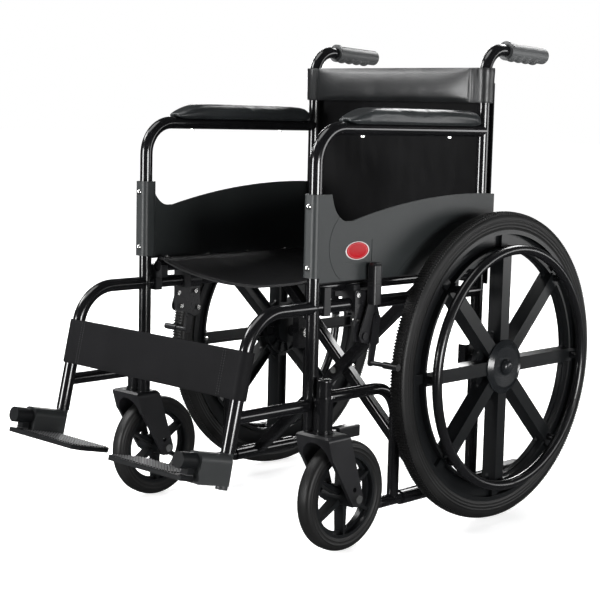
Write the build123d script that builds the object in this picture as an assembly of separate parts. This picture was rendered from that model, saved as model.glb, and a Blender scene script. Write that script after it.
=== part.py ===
"""Folding manual wheelchair with mag wheels, modelled as separate pieces.

The chair faces -Y, +X is the sitter's left and +Z is up. Every shape is drawn with Y counted from the
rear axle and Z from the floor. Each left-hand piece is drawn once and mirrored for the right-hand side,
and all pieces are moved by the same amount at the end, so that the origin lies on the floor under the
middle of the chair's outer box.
"""

import math
import os

from build123d import *

# ---------------------------------------------------------------- side frame, millimetres
frame_x = 232.0          # side-frame tube plane, from the middle of the chair
tube_r = 12.0            # main frame tube
rail_r = 11.0            # thinner lower rails, seat tubes
tube_wall = 1.5
post_y = -443.0          # front post, also the arm tube's front leg
post_foot_z = 222.0
arm_z = 755.0
arm_bend = 62.0
cane_y = 24.0            # back cane
handle_corner_z = 916.0
handle_end_y = 211.0
handle_end_z = 908.0
handle_bend = 50.0
seat_rail_z = 440.0
front_rail_z = 267.0
mid_rail_z = 276.0
mid_rail_y = -214.0      # where the middle rail turns down to the bottom rail
mid_rail_bend = 60.0
low_rail_z = 56.0
low_rail_front = -256.0
low_rail_rear = 150.0
shoe_half = 14.0         # square tipping shoe on the rear end of the bottom rail

# ---------------------------------------------------------------- footrest
hanger_corner_y = -589.0
hanger_bend = 80.0
hanger_lean = 12.5       # degrees forward of vertical
foot_pivot_z = 193.0
hanger_end = 18.0        # lower end of the outer tube above the footplate's axis, along the tube
extension_r = 10.45
extension_top = 140.0
housing_half = 19.0
housing_rear = 2.0
housing_front = 72.0
housing_drop = 36.0
housing_rise = 17.0
foot_pin_r = 6.0
barrel_r = 14.0
barrel_front = 108.0
plate_tip = 191.0        # inner end of the footplate, from the hinge axis
plate_root = 21.0
plate_rear = 16.0
plate_front = 104.0
plate_top = -25.0
plate_thick = 8.0
tread_rise = 1.6
tread_step = 7.6
tread_width = 3.2
tread_turn = 50.0        # degrees the ribs are turned from straight ahead; both plates' ribs run the same way
neck_front = 90.0        # front of the barrel's neck; the barrel overhangs it

# ---------------------------------------------------------------- wheels
wheel_x = 304.0          # rear tyre's middle plane
wheel_r = 301.0
tyre_inner_r = 266.0
tyre_width = 34.0
rim_inner_r = 228.0
spoke_count = 8
spoke_width = 26.0
spoke_face = 18.0        # outer face of the spokes, from the middle plane
spoke_back = -14.0
hub_r = 30.0
hub_ring_r = 54.0
hub_back = -32.0
axle_r = 6.0
cap_r = 53.0
cap_flat_r = 43.0
cap_button_r = 16.0
cap_bore = 11.0
push_rim_r = 230.0
push_rim_offset = 41.0
push_rim_section = 9.5
running = 0.05           # radial clearance of every turning fit

# ---------------------------------------------------------------- casters
caster_x = 261.0
stem_y = -440.0
stem_r = 6.0
caster_axle_y = -390.0
caster_r = 101.0
caster_tyre_inner = 77.0
caster_width = 32.0
caster_rim_inner = 66.0
caster_hub_r = 17.0
caster_spokes = 6
caster_axle_r = 4.0
fork_inner = 33.0
fork_outer = 41.0
fork_top_z = 221.5
fork_front = -468.0
fork_rear = -412.0
crown_fillet = 9.0
housing_r = 16.5
housing_top_z = 285.0
stem_cap_top_z = 318.0

# ---------------------------------------------------------------- cross brace and seat
pivot_z = 264.0          # centre bolt of the cross brace
brace_size = 22.0
brace_rear_y = -101.0    # bar from the left bottom rail to the right seat tube
brace_front_y = -126.0   # bar from the right bottom rail to the left seat tube
brace_reach = 294.0      # upper arm's length from the centre bolt
sleeve_r = 14.0
sleeve_front = -195.0
sleeve_rear = -25.0
center_bolt_r = 5.0
bolt_head_r = 7.0
seat_x = 214.0
seat_z = 474.0
seat_tube_front = -423.0
seat_tube_rear = 4.0
saddle_rows = (-420.0, -345.0, -60.0)
saddle_length = 16.0
saddle_gap = 0.5         # play of the seat tube in its saddles
sling_thick = 3.0
sling_sag = 32.0

# ---------------------------------------------------------------- arm pad, guard, brake, back
pad_front = -375.0
pad_rear = -3.0
pad_half = 28.0
pad_top_z = 791.0
guard_in = 244.0
guard_out = 248.0
guard_bottom_z = 486.0
guard_top_z = 640.0
guard_rear = 47.0
bracket_in = 246.0
bracket_out = 250.0
lever_pivot = (-338.0, 384.0)
shoe_pivot = (-300.0, 412.0)
shoe_center = (-312.0, 332.0)
brake_pin_r = 4.0
sling_half = 243.0
sling_bottom_z = 452.0
sling_top_z = 850.0
band_bottom_z = 809.0
band_top_z = 877.0
band_half = 249.0
band_wall = 3.0
calf_low = 107.0         # along the hanger, above the footplate's axis
calf_high = 191.0

ABOVE = (Align.CENTER, Align.CENTER, Align.MIN)
lean = math.radians(hanger_lean)
foot_pivot_y = hanger_corner_y - (seat_rail_z - foot_pivot_z) * math.tan(lean)


# ---------------------------------------------------------------- small helpers
def rod(start, end, radius):
    """A solid round bar between two points."""
    axis = Vector(*end) - Vector(*start)
    return Plane(origin=start, z_dir=axis) * Cylinder(radius, axis.length, align=ABOVE)


def pipe(start, end, radius, wall=tube_wall):
    """A straight tube between two points."""
    return rod(start, end, radius) - rod(start, end, radius - wall)


def bent(points, bend, radius, wall, x=frame_x):
    """A bent tube in the plane X = x, through corners given as (y, z); wall 0 makes it solid."""
    path = Pos(x, 0, 0) * (Plane.YZ * FilletPolyline(*points, radius=bend))
    section = Circle(radius)
    if wall:
        section -= Circle(radius - wall)
    return sweep(Plane(origin=path @ 0, z_dir=path % 0) * section, path=path)


def slab(outline, x_from, x_to):
    """A flat plate cut to a face drawn in (y, z), between two X planes."""
    return extrude(Pos(x_from, 0, 0) * (Plane.YZ * outline), amount=x_to - x_from)


def block(x, y, z):
    """A box from three (low, high) pairs."""
    size = [high - low for low, high in (x, y, z)]
    middle = [(high + low) / 2 for low, high in (x, y, z)]
    return Pos(*middle) * Box(*size)


def across(y, z, x_from, x_to, radius):
    """A round bar along X."""
    return rod((x_from, y, z), (x_to, y, z), radius)


def ring(section_points, x, y, z):
    """A turned ring about an X axis, from a section given as (radius, x offset)."""
    face = make_face(Polyline(*section_points, close=True))
    turned = revolve(Plane.XY * face, axis=Axis.Y)
    return Pos(x, y, z) * (Plane(origin=(0, 0, 0), x_dir=(0, 1, 0), z_dir=(0, 0, -1)) * turned)


def rounded_ring(inner, outer, width, corner, x, y, z):
    """A turned ring with a rounded rectangular section about an X axis."""
    face = Pos((inner + outer) / 2, 0) * RectangleRounded(outer - inner, width, corner)
    turned = revolve(face, axis=Axis.Y)
    return Pos(x, y, z) * (Plane(origin=(0, 0, 0), x_dir=(0, 1, 0), z_dir=(0, 0, -1)) * turned)


def foot_place():
    """The footplate's own frame: x inboard, y forward along its hinge, z up the hanger."""
    return Plane(
        origin=(frame_x, foot_pivot_y, foot_pivot_z),
        x_dir=(-1, 0, 0),
        z_dir=(0, math.sin(lean), math.cos(lean)),
    )


# ---------------------------------------------------------------- side frame
def post_solid():
    return bent([(post_y, post_foot_z), (post_y, arm_z), (cane_y, arm_z)], arm_bend, tube_r, 0)


def cane_solid():
    return rod((frame_x, cane_y, 0), (frame_x, cane_y, handle_corner_z - handle_bend), tube_r)


def hanger_points():
    end_z = foot_pivot_z + hanger_end * math.cos(lean)
    end_y = hanger_corner_y - (seat_rail_z - end_z) * math.tan(lean)
    return [(post_y, seat_rail_z), (hanger_corner_y, seat_rail_z), (end_y, end_z)]


def arm_tube():
    tube = bent([(post_y, post_foot_z), (post_y, arm_z), (cane_y, arm_z)], arm_bend, tube_r, tube_wall)
    return tube - cane_solid()


def footrest_hanger():
    return bent(hanger_points(), hanger_bend, tube_r, tube_wall) - post_solid()


def back_cane():
    points = [(cane_y, low_rail_z), (cane_y, handle_corner_z), (handle_end_y, handle_end_z)]
    cane = bent(points, handle_bend, tube_r, tube_wall)
    return cane - rod((frame_x, low_rail_front, low_rail_z), (frame_x, low_rail_rear, low_rail_z), rail_r)


def side_rails():
    """Seat rail, front rail, bent middle rail and bottom rail, coped to the posts they meet."""
    post = post_solid()
    cane = cane_solid()
    seat_rail = pipe((frame_x, post_y, seat_rail_z), (frame_x, cane_y, seat_rail_z), tube_r) - post - cane
    hanger = bent(hanger_points(), hanger_bend, tube_r, 0)
    meet_y = hanger_corner_y - (seat_rail_z - front_rail_z) * math.tan(lean)
    front_rail = pipe((frame_x, meet_y, front_rail_z), (frame_x, post_y, front_rail_z), rail_r)
    front_rail = front_rail - hanger - post
    bottom_rod = rod((frame_x, low_rail_front, low_rail_z), (frame_x, low_rail_rear, low_rail_z), rail_r)
    bottom_rail = pipe((frame_x, low_rail_front, low_rail_z), (frame_x, low_rail_rear, low_rail_z), rail_r)
    middle = [(post_y, mid_rail_z), (mid_rail_y, mid_rail_z), (mid_rail_y, low_rail_z)]
    mid_rail = bent(middle, mid_rail_bend, rail_r, tube_wall) - post - bottom_rod
    return [seat_rail, front_rail, mid_rail, bottom_rail]


def axle_bracket():
    """Plate welded to the back cane, with the boss that carries the rear axle."""
    plate = block((frame_x - 9, frame_x + 9), (-18, cane_y), (wheel_r - 34, wheel_r + 34))
    boss = across(0, wheel_r, frame_x + 5, frame_x + 30, 13)
    return plate + boss - cane_solid() - across(0, wheel_r, frame_x - 20, frame_x + 40, axle_r)


def rear_axle():
    shaft = across(0, wheel_r, frame_x - 9, wheel_x + 24, axle_r)
    head = across(0, wheel_r, frame_x - 16, frame_x - 9, 10)
    spacer = across(0, wheel_r, frame_x + 30, wheel_x + hub_back - 0.1, 10)
    nut = across(0, wheel_r, wheel_x + 14, wheel_x + 21, 9.5)
    return shaft + head + spacer + nut


def caster_housing():
    """Steering barrel beside the front post, its weld plate and its plastic top cap."""
    barrel = rod((caster_x, stem_y, post_foot_z), (caster_x, stem_y, housing_top_z), housing_r)
    for low, high in ((post_foot_z, post_foot_z + 5), (housing_top_z - 6, housing_top_z)):
        barrel += rod((caster_x, stem_y, low), (caster_x, stem_y, high), housing_r + 2)
    gusset_z = (post_foot_z + 8, housing_top_z - 10)
    barrel += block((frame_x + rail_r, caster_x), (stem_y - 7, stem_y + 7), gusset_z)
    low, high = post_foot_z - 1, housing_top_z + 1
    barrel -= rod((frame_x, post_y, low), (frame_x, post_y, high), tube_r)
    barrel -= rod((caster_x, stem_y, low), (caster_x, stem_y, high), stem_r + running)
    cap = rod((caster_x, stem_y, housing_top_z), (caster_x, stem_y, stem_cap_top_z), 13.5)
    cap = fillet(cap.edges().group_by(Axis.Z)[-1], 4)
    cap -= rod((caster_x, stem_y, housing_top_z), (caster_x, stem_y, stem_cap_top_z - 5), 11)
    return [barrel, cap]


def rail_end_caps():
    """Tipping-lever shoe on the rear of the bottom rail and plug in its front end."""
    sides = (frame_x - shoe_half, frame_x + shoe_half)
    height = (low_rail_z - shoe_half, low_rail_z + shoe_half)
    shoe = block(sides, (low_rail_rear - 32, low_rail_rear + 38), height)
    shoe = fillet(shoe.edges().filter_by(Axis.Y), 4)
    shoe = fillet(shoe.edges().group_by(Axis.Y)[-1], 3)
    shoe -= rod((frame_x, 0, low_rail_z), (frame_x, low_rail_rear, low_rail_z), rail_r)
    face = (frame_x, low_rail_front, low_rail_z)
    plug = rod((frame_x, low_rail_front - 6, low_rail_z), face, rail_r)
    plug += rod(face, (frame_x, low_rail_front + 15, low_rail_z), rail_r - tube_wall)
    return [shoe, plug]


def arm_pad():
    profile = Polyline(
        (pad_front, 764), (pad_front, 770), (pad_front + 26, 786), (pad_front + 56, pad_top_z),
        (pad_rear - 45, pad_top_z), (pad_rear - 17, 786), (pad_rear, 772), (pad_rear, 764), close=True,
    )
    pad = slab(make_face(profile), frame_x - pad_half, frame_x + pad_half)
    corners = pad.edges().filter_by(Axis.Z)
    pad = fillet(corners, 5)
    return pad - post_solid()


def guard_outline():
    """Skirt guard's edge: notch behind the post, then a long crown up to the back cane."""
    top = Spline(
        (-418, guard_top_z), (-408, 612), (-392, 596), (-362, 592),
        tangents=[(0.3, -1), (1, 0.05)],
    )
    crown = ThreePointArc((-362, 592), (-170, 626), (guard_rear, 632))
    rest = Polyline(
        (guard_rear, 632), (guard_rear, guard_bottom_z), (post_y, guard_bottom_z),
        (post_y, guard_top_z), (-418, guard_top_z),
    )
    return make_face(top + crown + rest)


def skirt_guard():
    panel = slab(guard_outline(), guard_in, guard_out)
    wrap_face = Pos(frame_x, post_y) * RectangleRounded(2 * (guard_out - frame_x), 32, 10)
    wrap = Pos(0, 0, guard_bottom_z + 8) * extrude(wrap_face, amount=guard_top_z - guard_bottom_z - 8)
    guard = panel + wrap - rod((frame_x, post_y, 400), (frame_x, post_y, 700), tube_r)
    recess = block((guard_out - 0.8, guard_out + 1), (-386, -310), (518, 557))
    arch = Circle(71) - Circle(69.8)
    arch_line = slab(Pos(-352, 546) * arch, guard_out - 0.6, guard_out + 1)
    arch_line &= block((guard_in, guard_out + 1), (-430, -362), (guard_bottom_z + 3, 600))
    wheel_arc = slab(Pos(0, wheel_r - 60) * (Circle(346) - Circle(344.8)), guard_out - 0.6, guard_out + 1)
    wheel_arc &= block((guard_in, guard_out + 1), (-300, guard_rear - 4), (guard_bottom_z + 3, 600))
    return guard - recess - arch_line - wheel_arc


def push_grip():
    """Moulded handle grip with a front collar and four finger ridges underneath."""
    axis = Vector(0, handle_end_y - cane_y, handle_end_z - handle_corner_z).normalized()
    place = Plane(origin=(frame_x, handle_end_y, handle_end_z), x_dir=(1, 0, 0), z_dir=axis)
    grip = Pos(0, 0, -124) * Cylinder(16, 128, align=ABOVE)
    grip += Pos(0, 0, -124) * Cylinder(19, 6, align=ABOVE)
    for ridge in range(4):
        grip += Pos(0, 7, -104 + 24 * ridge) * Sphere(13.5)
    grip = fillet(grip.edges().group_by(Axis.Z)[-1], 4)
    grip -= Pos(0, 0, -130) * Cylinder(tube_r, 130, align=ABOVE)
    return place * grip


def seat_saddles():
    """Plastic blocks clamped on the seat rail; the seat tube drops into their open tops."""
    blocks = []
    for y in saddle_rows:
        y_range = (y - saddle_length / 2, y + saddle_length / 2)
        piece = block((seat_x - 14, frame_x + 13.5), y_range, (seat_rail_z - 14.5, seat_z + 2))
        slot_r = rail_r + saddle_gap
        piece -= block((seat_x - slot_r, seat_x + slot_r), (y - 20, y + 20), (seat_z, seat_z + 40))
        piece -= rod((seat_x, y - 20, seat_z), (seat_x, y + 20, seat_z), slot_r)
        piece -= rod((frame_x, y - 20, seat_rail_z), (frame_x, y + 20, seat_rail_z), tube_r)
        piece -= block((seat_x - 20, seat_x + 3), (y - 20, y + 20), (seat_rail_z - 20, seat_z - 22))
        blocks.append(piece)
    return blocks


def frame_fasteners():
    """Guard bolts, arm-pad screws and the brake clamp's bolts and nuts."""
    pieces = []
    for z in (619, 511):
        dome = Pos(frame_x, post_y - 16, z) * Sphere(5.5)
        ahead = block((frame_x - 10, frame_x + 10), (post_y - 30, post_y - 16), (z - 10, z + 10))
        pieces.append(dome & ahead)
    for y in (-326, -80):
        pieces.append(rod((frame_x, y, arm_z - tube_r - 3), (frame_x, y, arm_z - tube_r - 0.3), 4))
    for y, z in ((-346, 458), (-345, 411), (-292, 378)):
        pieces.append(across(y, z, bracket_out, bracket_out + 1.8, 4.5))
    for y, z in ((-345, 411), (-292, 378), lever_pivot, shoe_pivot):
        pieces.append(across(y, z, bracket_in - 4, bracket_in, 4.5))
    return pieces


# ---------------------------------------------------------------- brake
def brake_bracket():
    outline = make_face(Polyline(
        (-353, 466), (-303, 466), (-287, 420), (-285, 366), (-298, 360), (-330, 372),
        (-350, 374), (-353, 400), close=True,
    ))
    plate = slab(outline, bracket_in, bracket_out)
    clamp = rod((frame_x, -337, seat_rail_z), (frame_x, -307, seat_rail_z), 16)
    bracket = plate + clamp - rod((frame_x, -400, seat_rail_z), (frame_x, -200, seat_rail_z), tube_r)
    bracket += across(*lever_pivot, bracket_out, 261.2, brake_pin_r) + across(*lever_pivot, 261.2, 264, 7)
    bracket += across(*shoe_pivot, bracket_out, 256.2, brake_pin_r) + across(*shoe_pivot, 256.2, 257.6, 6.5)
    return bracket


def brake_lever():
    y, z = lever_pivot
    outline = make_hull((Pos(y, z) * Circle(12)).edges() + (Pos(-317, 452) * Circle(9)).edges())
    arm = slab(outline, 258, 261) - across(y, z, 257, 262, brake_pin_r + running)
    grip_face = Pos(262, -316) * RectangleRounded(20, 24, 7)
    grip = Pos(0, 0, 441) * extrude(grip_face, amount=76)
    grip = fillet(grip.edges().group_by(Axis.Z)[-1], 8)
    for step in range(3):
        groove = Pos(262, -316, 476 + 6 * step) * (Box(30, 30, 1.6) - Box(18.4, 22.4, 1.6))
        grip -= groove
    return [arm, grip - arm]


def brake_shoe():
    y, z = shoe_pivot
    low_y, low_z = shoe_center
    outline = make_hull((Pos(y, z) * Circle(10)).edges() + (Pos(low_y, low_z) * Circle(7)).edges())
    arm = slab(outline, 252, 256) - across(y, z, 251, 257, brake_pin_r + running)
    bar = across(low_y, low_z, 256, wheel_x + 16, 4.5)
    roller = across(low_y, low_z, wheel_x - 17, wheel_x + 17, 6.5)
    return arm + bar + roller


# ---------------------------------------------------------------- rear wheel
def spoke_window():
    """One rounded opening between two spokes, in the plane of the wheel, above the +Y spoke."""
    gap = spoke_width / 2
    turn = math.radians(360 / spoke_count)
    inner, outer = 62.0, rim_inner_r - 2
    low_in = (math.sqrt(inner ** 2 - gap ** 2), gap)
    low_out = (math.sqrt(outer ** 2 - gap ** 2), gap)
    start = math.atan2(low_out[1], low_out[0])
    middle = (outer * math.cos(turn / 2), outer * math.sin(turn / 2))
    high_out = (outer * math.cos(turn - start), outer * math.sin(turn - start))
    edge_in = math.atan2(low_in[1], low_in[0])
    high_in = (inner * math.cos(turn - edge_in), inner * math.sin(turn - edge_in))
    hub_side = (inner * math.cos(turn / 2), inner * math.sin(turn / 2))
    lines = Line(low_in, low_out) + ThreePointArc(low_out, middle, high_out)
    lines += Line(high_out, high_in) + ThreePointArc(high_in, hub_side, low_in)
    face = make_face(lines)
    return fillet(face.vertices(), 11)


def wheel_casting():
    """One-piece mag wheel: hub, ribbed hollow-backed spokes, web with rounded windows, channelled rim."""
    c = wheel_x
    hub = across(0, 0, c + hub_back, c + spoke_face, hub_r)
    hub += across(0, 0, c - 20, c - 14, hub_ring_r) - across(0, 0, c - 21, c - 13, hub_ring_r - 4)
    hub += across(0, 0, c - 14, c - 4, hub_ring_r)
    web = Circle(rim_inner_r + 3)
    for index in range(spoke_count):
        web -= Rot(0, 0, index * 360 / spoke_count) * spoke_window()
    wheel = hub + slab(web, c - 5, c + 1)
    for index in range(12):
        rib = block((c - 20, c - 13), (hub_r - 2, hub_ring_r - 2), (-1.5, 1.5))
        wheel += Rot(index * 30 + 15, 0, 0) * rib
    half = spoke_width / 2
    hollow = (hub_ring_r + 6, rim_inner_r - 6)
    for index in range(spoke_count):
        bar = block((c + spoke_back, c + spoke_face), (hub_r - 4, rim_inner_r + 4), (-half, half))
        bar += block((c - 4, c + 9), (rim_inner_r, tyre_inner_r - 3), (-half + 4, half - 4))
        pocket = block((c + spoke_back - 1, c + spoke_face - 4), hollow, (-half + 3, half - 3))
        for radius in (95, 138, 181):
            pocket -= block((c - 30, c + 30), (radius - 1.5, radius + 1.5), (-half, half))
        wheel += Rot(index * 360 / spoke_count, 0, 0) * (bar - pocket)
    for index in range(spoke_count):
        pocket = block((c + spoke_back - 1, c - 4), hollow, (-half + 3, half - 3))
        wheel -= Rot(index * 360 / spoke_count, 0, 0) * pocket
    rim = ring([
        (rim_inner_r, -12), (rim_inner_r + 5, -12), (rim_inner_r + 5, -4), (tyre_inner_r - 4, -4),
        (tyre_inner_r - 4, -17), (tyre_inner_r, -17), (tyre_inner_r, 15), (tyre_inner_r - 8, 15),
        (tyre_inner_r - 8, 12), (tyre_inner_r - 4, 12), (tyre_inner_r - 4, 1), (rim_inner_r + 5, 1),
        (rim_inner_r + 5, 14), (rim_inner_r, 14),
    ], c, 0, 0)
    wheel += rim
    wheel -= across(0, 0, c - 60, c + 60, axle_r + running)
    wheel -= across(0, 0, c + 13.8, c + 30, 13)
    return Pos(0, 0, wheel_r) * wheel


def tyre():
    return rounded_ring(tyre_inner_r, wheel_r, tyre_width, 11, wheel_x, 0, wheel_r)


def push_rim():
    """Hand rim on eight posts that bolt to the spokes."""
    x = wheel_x + push_rim_offset
    hoop = Pos(x, 0, wheel_r) * (Rot(0, 90, 0) * Torus(push_rim_r, push_rim_section))
    posts = [
        across(
            push_rim_r * math.cos(index * 2 * math.pi / spoke_count),
            wheel_r + push_rim_r * math.sin(index * 2 * math.pi / spoke_count),
            wheel_x + spoke_face, x - 4, 7,
        )
        for index in range(spoke_count)
    ]
    return hoop + posts


def hub_cap():
    """Dished centre cap with a bevelled rim and a domed button that covers the axle nut."""
    face = wheel_x + spoke_face
    outline = make_face(Polyline(
        (face, cap_bore), (face, cap_r), (face + 2.5, cap_r), (face + 9, cap_flat_r), (face + 6.5, cap_flat_r - 3),
        (face + 5.5, cap_button_r + 3), (face + 5.5, cap_bore), close=True,
    ))
    cap = Pos(0, 0, wheel_r) * revolve(outline, axis=Axis.X)
    button = across(0, wheel_r, face + 4, face + 17, cap_button_r)
    cap += fillet(button.edges().group_by(Axis.X)[-1], 11)
    return cap - across(0, wheel_r, face - 1, face + 9, cap_bore)


# ---------------------------------------------------------------- caster
def caster_fork():
    """Moulded fork with an arched crown, trailing legs with two axle holes, and its steel stem."""
    c = caster_x
    crown_face = make_face(Polyline(
        (fork_front, fork_top_z - 4), (fork_front + 4, fork_top_z), (fork_rear - 4, fork_top_z),
        (fork_rear, fork_top_z - 4), (fork_rear + 3, 178), (fork_front + 12, 178), close=True,
    ))
    leg_top = make_face(Polyline(
        (fork_front + 12, 180), (fork_front, fork_top_z - 4), (fork_front + 4, fork_top_z),
        (fork_rear - 4, fork_top_z), (fork_rear, fork_top_z - 4), close=True,
    ))
    leg_face = make_hull(leg_top.edges() + (Pos(caster_axle_y, caster_r) * Circle(15)).edges())
    sides = (c - fork_outer, c + fork_outer)
    fork = slab(leg_face, *sides) + slab(crown_face, *sides)
    fork = fillet(fork.edges().filter_by(Axis.Y).group_by(Axis.Z)[-1], crown_fillet)
    gap = block((c - fork_inner, c + fork_inner), (-520, -350), (60, 174))
    gap += rod((c, -520, 174), (c, -350, 174), fork_inner)
    fork -= gap
    rise = Vector(0, (fork_front + fork_rear) / 2 - caster_axle_y, fork_top_z - caster_r).normalized() * 19
    fork -= across(caster_axle_y + rise.Y, caster_r + rise.Z, c - 60, c + 60, 4.5)
    fork -= across(caster_axle_y, caster_r, c - 60, c + 60, caster_axle_r)
    stem = rod((c, stem_y, fork_top_z), (c, stem_y, housing_top_z + 12), stem_r)
    nut = rod((c, stem_y, housing_top_z + 0.4), (c, stem_y, housing_top_z + 8), 9.5)
    return fork + stem + nut


def caster_wheel():
    c = caster_x
    wheel = across(0, 0, c - fork_inner + 0.5, c + fork_inner - 0.5, caster_hub_r)
    rim = across(0, 0, c - 13, c + 13, caster_tyre_inner) - across(0, 0, c - 14, c + 14, caster_rim_inner + 5)
    rim += across(0, 0, c - 3, c + 3, caster_tyre_inner - 1) - across(0, 0, c - 4, c + 4, caster_rim_inner)
    wheel += rim
    for index in range(caster_spokes):
        blade = make_face(Polyline(
            (caster_hub_r - 3, -5.5), (caster_tyre_inner - 4, -2.5), (caster_tyre_inner - 4, 2.5),
            (caster_hub_r - 3, 5.5), close=True,
        ))
        wheel += slab(Rot(0, 0, index * 360 / caster_spokes + 30) * blade, c - 11, c + 11)
    wheel -= across(0, 0, c - 60, c + 60, caster_axle_r + running)
    return Pos(0, caster_axle_y, caster_r) * wheel


def caster_tyre():
    return rounded_ring(caster_tyre_inner, caster_r, caster_width, 10.5, caster_x, caster_axle_y, caster_r)


def caster_axle():
    c = caster_x
    bolt = across(caster_axle_y, caster_r, c - fork_outer, c + fork_outer, caster_axle_r)
    for side in (-1, 1):
        bolt += across(caster_axle_y, caster_r, c + side * fork_outer, c + side * (fork_outer + 5), 7.5)
    return bolt


# ---------------------------------------------------------------- footrest
def footrest_extension():
    """Height-adjustable inner tube with the moulded hinge housing on its lower end."""
    tube = Pos(0, 0, -housing_drop - 8) * Cylinder(extension_r, extension_top + housing_drop + 8, align=ABOVE)
    bore = Pos(0, 0, -housing_drop) * Cylinder(extension_r - tube_wall, 400, align=ABOVE)
    front_back = housing_front - housing_rear
    height = housing_rise + housing_drop
    section = Pos(0, (housing_rise - housing_drop) / 2) * Rectangle(2 * housing_half, height)
    section = fillet(section.vertices().group_by(Axis.Y)[-1], 15)
    shell = extrude(Plane.XZ * section, amount=-front_back)
    shell = Pos(0, housing_rear, 0) * shell
    shell -= Pos(0, 0, -200) * Cylinder(extension_r, 400, align=ABOVE)
    pin_hole = Plane(origin=(0, 14, 0), z_dir=(0, 1, 0)) * Cylinder(foot_pin_r + running, 200, align=ABOVE)
    return [foot_place() * (tube - bore), foot_place() * (shell - pin_hole)]


def footplate(turn):
    """Ribbed plate that flips up about the barrel in front of the housing."""
    low, high = plate_top - plate_thick, plate_top
    outline = make_face(Polyline(
        (plate_root, plate_rear), (plate_tip - 16, plate_rear), (plate_tip, plate_rear + 16),
        (plate_tip, plate_front - 12), (plate_tip - 12, plate_front), (-10, plate_front),
        (-10, housing_front + 3), (plate_root, housing_front + 3), close=True,
    ))
    plate = Pos(0, 0, low) * extrude(outline, amount=plate_thick)
    inner = make_face(Polyline(
        (plate_root + 5, plate_rear + 4), (plate_tip - 18, plate_rear + 4),
        (plate_tip - 4, plate_rear + 18), (plate_tip - 4, plate_front - 14),
        (plate_tip - 14, plate_front - 4), (plate_root + 5, plate_front - 4), close=True,
    ))
    treads = []
    reach = plate_tip + plate_front
    for index in range(int(1.6 * reach / tread_step)):
        offset = index * tread_step - 80
        stripe = Pos(offset, (plate_front + plate_rear) / 2) * (Rot(0, 0, turn) * Rectangle(tread_width, 300))
        treads.append(stripe)
    ribs = Pos(0, 0, high) * extrude((Sketch() + treads) & inner, amount=tread_rise)
    plate += ribs
    plate += block((-8, 8), (housing_front + 4, neck_front), (low, -6))
    axis_plane = Plane(origin=(0, housing_front + 1, 0), z_dir=(0, 1, 0))
    plate += axis_plane * Cylinder(barrel_r, barrel_front - housing_front - 1, align=ABOVE)
    pin_plane = Plane(origin=(0, 16, 0), z_dir=(0, 1, 0))
    plate += pin_plane * Cylinder(foot_pin_r, housing_front - 10, align=ABOVE)
    return foot_place() * plate


# ---------------------------------------------------------------- cross brace
def brace(low_side, y, bolt_hole):
    """One square bar, welded to its sleeve on a bottom rail and to the opposite seat tube above."""
    lower = math.hypot(frame_x, pivot_z - low_rail_z)
    up = Vector(-low_side * frame_x, 0, pivot_z - low_rail_z).normalized()
    place = Plane(origin=(0, y, pivot_z), x_dir=(0, 1, 0), z_dir=up)
    section = RectangleRounded(brace_size, brace_size, 4) - Rectangle(brace_size - 4, brace_size - 4)
    bar = place * (Pos(0, 0, -lower) * extrude(section, amount=lower + brace_reach))
    low_x = low_side * frame_x
    sleeve_line = ((low_x, sleeve_front, low_rail_z), (low_x, sleeve_rear, low_rail_z))
    bar -= rod(*sleeve_line, sleeve_r)
    bar -= rod((-low_side * seat_x, -500, seat_z), (-low_side * seat_x, 100, seat_z), rail_r)
    bar -= rod((0, -200, pivot_z), (0, 0, pivot_z), bolt_hole)
    sleeve = rod(*sleeve_line, sleeve_r) - rod(*sleeve_line, rail_r + running)
    return [bar, sleeve]


def center_bolt():
    """Pivot bolt with its head, the washer between the bars and the nut."""
    front = brace_front_y - brace_size / 2
    rear = brace_rear_y + brace_size / 2
    bolt = rod((0, front, pivot_z), (0, rear + 8, pivot_z), center_bolt_r)
    bolt += rod((0, front - 5, pivot_z), (0, front, pivot_z), bolt_head_r)
    bolt += rod((0, rear + 0.2, pivot_z), (0, rear + 7, pivot_z), bolt_head_r)
    between = (brace_front_y + brace_size / 2, brace_rear_y - brace_size / 2)
    return bolt + rod((0, between[0], pivot_z), (0, between[1] - 0.2, pivot_z), 12)


def seat_tube():
    tube = pipe((seat_x, seat_tube_front, seat_z), (seat_x, seat_tube_rear, seat_z), rail_r)
    plugs = []
    for y, way in ((seat_tube_front, 1), (seat_tube_rear, -1)):
        plug = rod((seat_x, y, seat_z), (seat_x, y + way * 12, seat_z), rail_r - tube_wall)
        plugs.append(plug + rod((seat_x, y, seat_z), (seat_x, y - way * 3, seat_z), rail_r))
    return [tube] + plugs


# ---------------------------------------------------------------- upholstery, plain closed solids
def seat_sling():
    top = seat_z + rail_r + 0.1
    edge = seat_x - rail_r
    outer = seat_x + 10
    high = top + sling_thick
    upper = ThreePointArc((edge, high), (0, high - sling_sag), (-edge, high))
    lower = ThreePointArc((-edge, top), (0, top - sling_sag), (edge, top))
    left = Polyline((edge, top), (outer, top), (outer, high), (edge, high))
    right = Polyline((-edge, high), (-outer, high), (-outer, top), (-edge, top))
    face = make_face(upper + right + lower + left)
    rear = seat_tube_rear - 4
    front = seat_tube_front + 3
    return extrude(Pos(0, rear, 0) * (Plane.XZ * face), amount=rear - front)


def back_sling():
    behind = cane_y + tube_r + 0.5
    return block((-sling_half, sling_half), (behind, behind + sling_thick), (sling_bottom_z, sling_top_z))


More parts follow.
